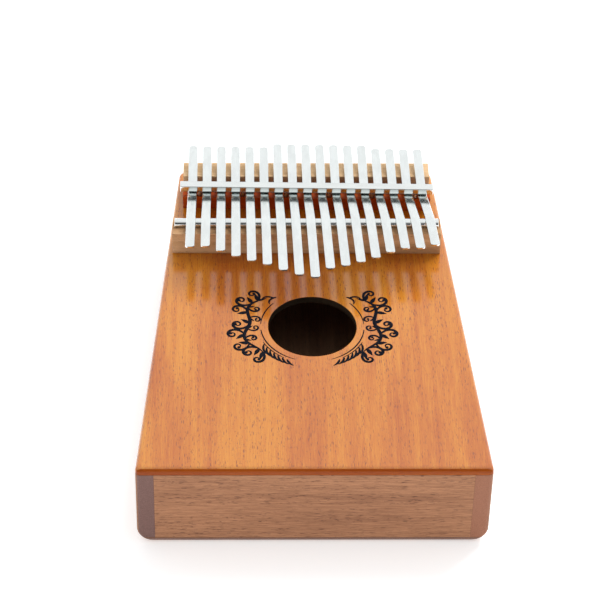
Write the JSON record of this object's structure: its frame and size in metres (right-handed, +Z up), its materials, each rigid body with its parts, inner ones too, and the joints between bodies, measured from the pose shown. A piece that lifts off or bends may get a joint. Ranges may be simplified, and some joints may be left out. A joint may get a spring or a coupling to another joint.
{
  "type": "mbira",
  "caption": "Box mbira: tapered wooden sound box with a round sound hole, a bridge with a steel rod, a press bar and a fan of plucked steel tines.",
  "frame": {"origin": "middle of the outline on the underside of the back plate", "axes": "+X to the player's right, +Y from the player's end towards the tails of the tines, +Z up through the soundboard"},
  "size_m": [0.1346, 0.1796, 0.0571],
  "materials": {
    "soundboard_mahogany": "glossy orange-brown lacquered mahogany, grain running front to rear, fine dark pores",
    "back_mahogany": "satin lacquered mahogany, grain running front to rear",
    "rail_mahogany": "satin brown-red mahogany, grain along each rail, end grain at the corners",
    "bridge_wood": "unlacquered brown hardwood with a lighter sawn top",
    "plain_wood": "unlacquered light tan wood",
    "polished_steel": "bright plated steel with fine drawing lines",
    "tine_steel": "bright spring steel, fine lengthwise grinding lines, eased edges",
    "screw_steel": "plain zinc-plated steel"
  },
  "bodies": {
    "box": {"soundboard": "soundboard_mahogany", "back_plate": "back_mahogany", "left_rail": "rail_mahogany", "right_rail": "rail_mahogany", "front_rail": "rail_mahogany", "rear_rail": "rail_mahogany", "screw_brace": "plain_wood", "front_bridge": "bridge_wood", "saddle_rod": "polished_steel", "anchor_block": "rail_mahogany", "ridge_strip": "plain_wood", "press_bar": "polished_steel", "press_bar_screws": "screw_steel", "screw_washers": "screw_steel", "tine_01_root": "tine_steel", "tine_02_root": "tine_steel", "tine_03_root": "tine_steel", "tine_04_root": "tine_steel", "tine_05_root": "tine_steel", "tine_06_root": "tine_steel", "tine_07_root": "tine_steel", "tine_08_root": "tine_steel", "tine_09_root": "tine_steel", "tine_10_root": "tine_steel", "tine_11_root": "tine_steel", "tine_12_root": "tine_steel", "tine_13_root": "tine_steel", "tine_14_root": "tine_steel", "tine_15_root": "tine_steel", "tine_16_root": "tine_steel", "tine_17_root": "tine_steel"},
    "tine_01": {"tine_01_blade": "tine_steel"},
    "tine_02": {"tine_02_blade": "tine_steel"},
    "tine_03": {"tine_03_blade": "tine_steel"},
    "tine_04": {"tine_04_blade": "tine_steel"},
    "tine_05": {"tine_05_blade": "tine_steel"},
    "tine_06": {"tine_06_blade": "tine_steel"},
    "tine_07": {"tine_07_blade": "tine_steel"},
    "tine_08": {"tine_08_blade": "tine_steel"},
    "tine_09": {"tine_09_blade": "tine_steel"},
    "tine_10": {"tine_10_blade": "tine_steel"},
    "tine_11": {"tine_11_blade": "tine_steel"},
    "tine_12": {"tine_12_blade": "tine_steel"},
    "tine_13": {"tine_13_blade": "tine_steel"},
    "tine_14": {"tine_14_blade": "tine_steel"},
    "tine_15": {"tine_15_blade": "tine_steel"},
    "tine_16": {"tine_16_blade": "tine_steel"},
    "tine_17": {"tine_17_blade": "tine_steel"}
  },
  "joints": [
    {"name": "tine_01_flex", "type": "hinge", "parent": "box", "child": "tine_01", "pos_m": [-0.04799, 0.04065, 0.05335], "axis": [0.9999, -0.0122, 0], "range_deg": [-2, 4], "stiffness_Nm_per_rad": 9.86},
    {"name": "tine_02_flex", "type": "hinge", "parent": "box", "child": "tine_02", "pos_m": [-0.04187, 0.04065, 0.05335], "axis": [1, -0.007, 0], "range_deg": [-2, 4], "stiffness_Nm_per_rad": 10.05},
    {"name": "tine_03_flex", "type": "hinge", "parent": "box", "child": "tine_03", "pos_m": [-0.03576, 0.04065, 0.05335], "axis": [1, -0.0017, 0], "range_deg": [-2, 4], "stiffness_Nm_per_rad": 8.72},
    {"name": "tine_04_flex", "type": "hinge", "parent": "box", "child": "tine_04", "pos_m": [-0.02964, 0.04065, 0.05335], "axis": [1, 0.0035, 0], "range_deg": [-2, 4], "stiffness_Nm_per_rad": 7.52},
    {"name": "tine_05_flex", "type": "hinge", "parent": "box", "child": "tine_05", "pos_m": [-0.02352, 0.04065, 0.05335], "axis": [1, 0.0087, 0], "range_deg": [-2, 4], "stiffness_Nm_per_rad": 6.74},
    {"name": "tine_06_flex", "type": "hinge", "parent": "box", "child": "tine_06", "pos_m": [-0.0174, 0.04065, 0.05335], "axis": [0.9999, 0.014, 0], "range_deg": [-2, 4], "stiffness_Nm_per_rad": 6.21},
    {"name": "tine_07_flex", "type": "hinge", "parent": "box", "child": "tine_07", "pos_m": [-0.01128, 0.04065, 0.05335], "axis": [0.9998, 0.0192, 0], "range_deg": [-2, 4], "stiffness_Nm_per_rad": 5.57},
    {"name": "tine_08_flex", "type": "hinge", "parent": "box", "child": "tine_08", "pos_m": [-0.00517, 0.04065, 0.05335], "axis": [0.9997, 0.0244, 0], "range_deg": [-2, 4], "stiffness_Nm_per_rad": 5.13},
    {"name": "tine_09_flex", "type": "hinge", "parent": "box", "child": "tine_09", "pos_m": [0.00095, 0.04065, 0.05335], "axis": [0.9996, 0.0297, 0], "range_deg": [-2, 4], "stiffness_Nm_per_rad": 4.92},
    {"name": "tine_10_flex", "type": "hinge", "parent": "box", "child": "tine_10", "pos_m": [0.00707, 0.04065, 0.05335], "axis": [0.9994, 0.0349, 0], "range_deg": [-2, 4], "stiffness_Nm_per_rad": 5.75},
    {"name": "tine_11_flex", "type": "hinge", "parent": "box", "child": "tine_11", "pos_m": [0.01319, 0.04065, 0.05335], "axis": [0.9992, 0.0401, 0], "range_deg": [-2, 4], "stiffness_Nm_per_rad": 6.07},
    {"name": "tine_12_flex", "type": "hinge", "parent": "box", "child": "tine_12", "pos_m": [0.0193, 0.04065, 0.05335], "axis": [0.999, 0.0454, 0], "range_deg": [-2, 4], "stiffness_Nm_per_rad": 6.56},
    {"name": "tine_13_flex", "type": "hinge", "parent": "box", "child": "tine_13", "pos_m": [0.02542, 0.04065, 0.05335], "axis": [0.9987, 0.0506, 0], "range_deg": [-2, 4], "stiffness_Nm_per_rad": 7.26},
    {"name": "tine_14_flex", "type": "hinge", "parent": "box", "child": "tine_14", "pos_m": [0.03154, 0.04065, 0.05335], "axis": [0.9984, 0.0558, 0], "range_deg": [-2, 4], "stiffness_Nm_per_rad": 8.41},
    {"name": "tine_15_flex", "type": "hinge", "parent": "box", "child": "tine_15", "pos_m": [0.03766, 0.04065, 0.05335], "axis": [0.9981, 0.061, 0], "range_deg": [-2, 4], "stiffness_Nm_per_rad": 9.47},
    {"name": "tine_16_flex", "type": "hinge", "parent": "box", "child": "tine_16", "pos_m": [0.04378, 0.04065, 0.05335], "axis": [0.9978, 0.0663, 0], "range_deg": [-2, 4], "stiffness_Nm_per_rad": 9.58},
    {"name": "tine_17_flex", "type": "hinge", "parent": "box", "child": "tine_17", "pos_m": [0.0499, 0.04065, 0.05335], "axis": [0.9974, 0.0715, 0], "range_deg": [-2, 4], "stiffness_Nm_per_rad": 10.7}
  ]
}
